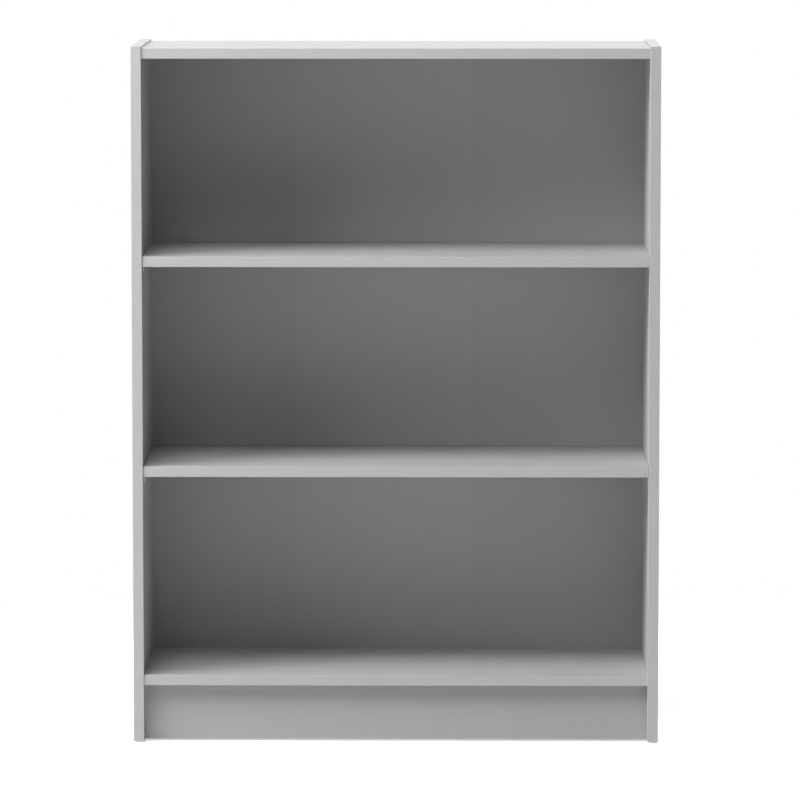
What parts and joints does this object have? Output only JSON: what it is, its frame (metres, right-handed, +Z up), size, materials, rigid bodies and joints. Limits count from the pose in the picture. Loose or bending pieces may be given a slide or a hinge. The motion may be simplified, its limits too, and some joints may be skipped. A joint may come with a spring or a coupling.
{
  "type": "bookcase",
  "caption": "Low open bookcase: side panels, loose shelves on pins, recessed plinth and a thin folded back, held by cam fittings and dowels.",
  "frame": {"origin": "on the floor, under the middle of the case's outline", "axes": "+X to the right seen from the front, +Y to the back, +Z up"},
  "size_m": [0.8, 0.28, 1.062],
  "materials": {
    "board_foil": "satin grey foil on chipboard, raw chipboard on the hidden edges",
    "edge_strip": "satin grey plastic strip",
    "back_hardboard": "grey foil in front, bare brown hardboard behind",
    "paper_tape": "gummed kraft paper",
    "bright_steel": "bright zinc plate",
    "nickel_pin": "dull nickel plate",
    "zinc_casting": "as cast",
    "beech": "bare, fluted",
    "grey_plastic": "moulded grey plastic",
    "block_plastic": "moulded pale plastic",
    "glide_plastic": "moulded pale plastic"
  },
  "bodies": {
    "carcass": {"left_side_panel": "board_foil", "right_side_panel": "board_foil", "top_panel": "board_foil", "bottom_panel": "board_foil", "plinth_board": "board_foil", "left_side_front_edging": "edge_strip", "left_side_top_edging": "edge_strip", "right_side_front_edging": "edge_strip", "right_side_top_edging": "edge_strip", "top_panel_edging": "edge_strip", "bottom_panel_edging": "edge_strip", "left_back_leaf": "back_hardboard", "centre_back_leaf": "back_hardboard", "right_back_leaf": "back_hardboard", "left_fold_tape": "paper_tape", "right_fold_tape": "paper_tape", "back_nails": "bright_steel", "plinth_block_screws": "bright_steel", "top_cam_bolts": "bright_steel", "bottom_cam_bolts": "bright_steel", "lower_shelf_pins": "nickel_pin", "upper_shelf_pins": "nickel_pin", "top_cam_nuts": "zinc_casting", "bottom_cam_nuts": "zinc_casting", "top_dowels": "beech", "bottom_dowels": "beech", "plinth_dowels": "beech", "cam_caps": "grey_plastic", "left_plinth_block": "block_plastic", "right_plinth_block": "block_plastic", "floor_glides": "glide_plastic"},
    "lower_shelf": {"lower_shelf": "board_foil", "lower_shelf_edging": "edge_strip"},
    "upper_shelf": {"upper_shelf": "board_foil", "upper_shelf_edging": "edge_strip"}
  },
  "joints": [
    {"name": "lower_shelf_slide", "type": "slide", "parent": "carcass", "child": "lower_shelf", "axis": [0, -1, 0], "range_m": [0, 0.1]},
    {"name": "upper_shelf_slide", "type": "slide", "parent": "carcass", "child": "upper_shelf", "axis": [0, -1, 0], "range_m": [0, 0.1]}
  ]
}
